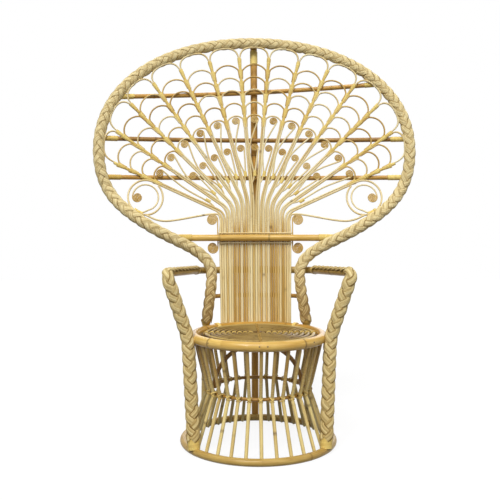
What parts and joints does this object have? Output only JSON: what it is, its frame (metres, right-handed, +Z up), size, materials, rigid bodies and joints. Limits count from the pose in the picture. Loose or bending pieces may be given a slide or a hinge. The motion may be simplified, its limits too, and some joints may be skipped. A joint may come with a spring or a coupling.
{
  "type": "peacock chair",
  "caption": "Rattan peacock chair with a caged hourglass base, coiled round seat, plaited arm hoop and a tall fan-shaped lattice back.",
  "frame": {"origin": "on the floor under the middle of the bounding box", "axes": "+Z up, the sitter faces -Y, +X to the sitter's left"},
  "size_m": [1.1974, 0.7332, 1.4683],
  "materials": {
    "cane": "satin natural rattan cane",
    "pole": "satin varnished rattan pole",
    "bar": "darker rattan pole, skin left on",
    "coil": "satin varnished rattan cane",
    "braid": "dry plaited rattan peel"
  },
  "bodies": {
    "root": {"spindle_01": "cane", "spindle_02": "cane", "spindle_03": "cane", "spindle_04": "cane", "spindle_05": "cane", "spindle_06": "cane", "spindle_07": "cane", "spindle_08": "cane", "spindle_09": "cane", "spindle_10": "cane", "spindle_11": "cane", "spindle_12": "cane", "spindle_13": "cane", "spindle_14": "cane", "spindle_15": "cane", "spindle_17": "cane", "spindle_18": "cane", "spindle_19": "cane", "spindle_20": "cane", "spindle_21": "cane", "spindle_22": "cane", "spindle_23": "cane", "spindle_24": "cane", "spindle_25": "cane", "spindle_26": "cane", "spindle_27": "cane", "spindle_28": "cane", "spindle_29": "cane", "spindle_30": "cane", "feather_middle": "cane", "feather_left_1": "cane", "feather_left_2": "cane", "feather_left_3": "cane", "feather_left_4": "cane", "feather_left_5": "cane", "feather_left_6": "cane", "feather_right_1": "cane", "feather_right_2": "cane", "feather_right_3": "cane", "feather_right_4": "cane", "feather_right_5": "cane", "feather_right_6": "cane", "wing_left": "cane", "wing_right": "cane", "base_ring": "pole", "waist_ring": "pole", "seat_rim": "pole", "frame_pole": "pole", "arm_hoop": "pole", "seat_cradle": "bar", "center_post": "bar", "top_bar": "bar", "upper_bar": "bar", "middle_bar": "bar", "band_bar": "bar", "lower_bar": "bar", "seat_coil": "coil", "frame_braid": "braid", "arm_braid_left": "braid", "arm_braid_right": "braid"}
  },
  "joints": []
}
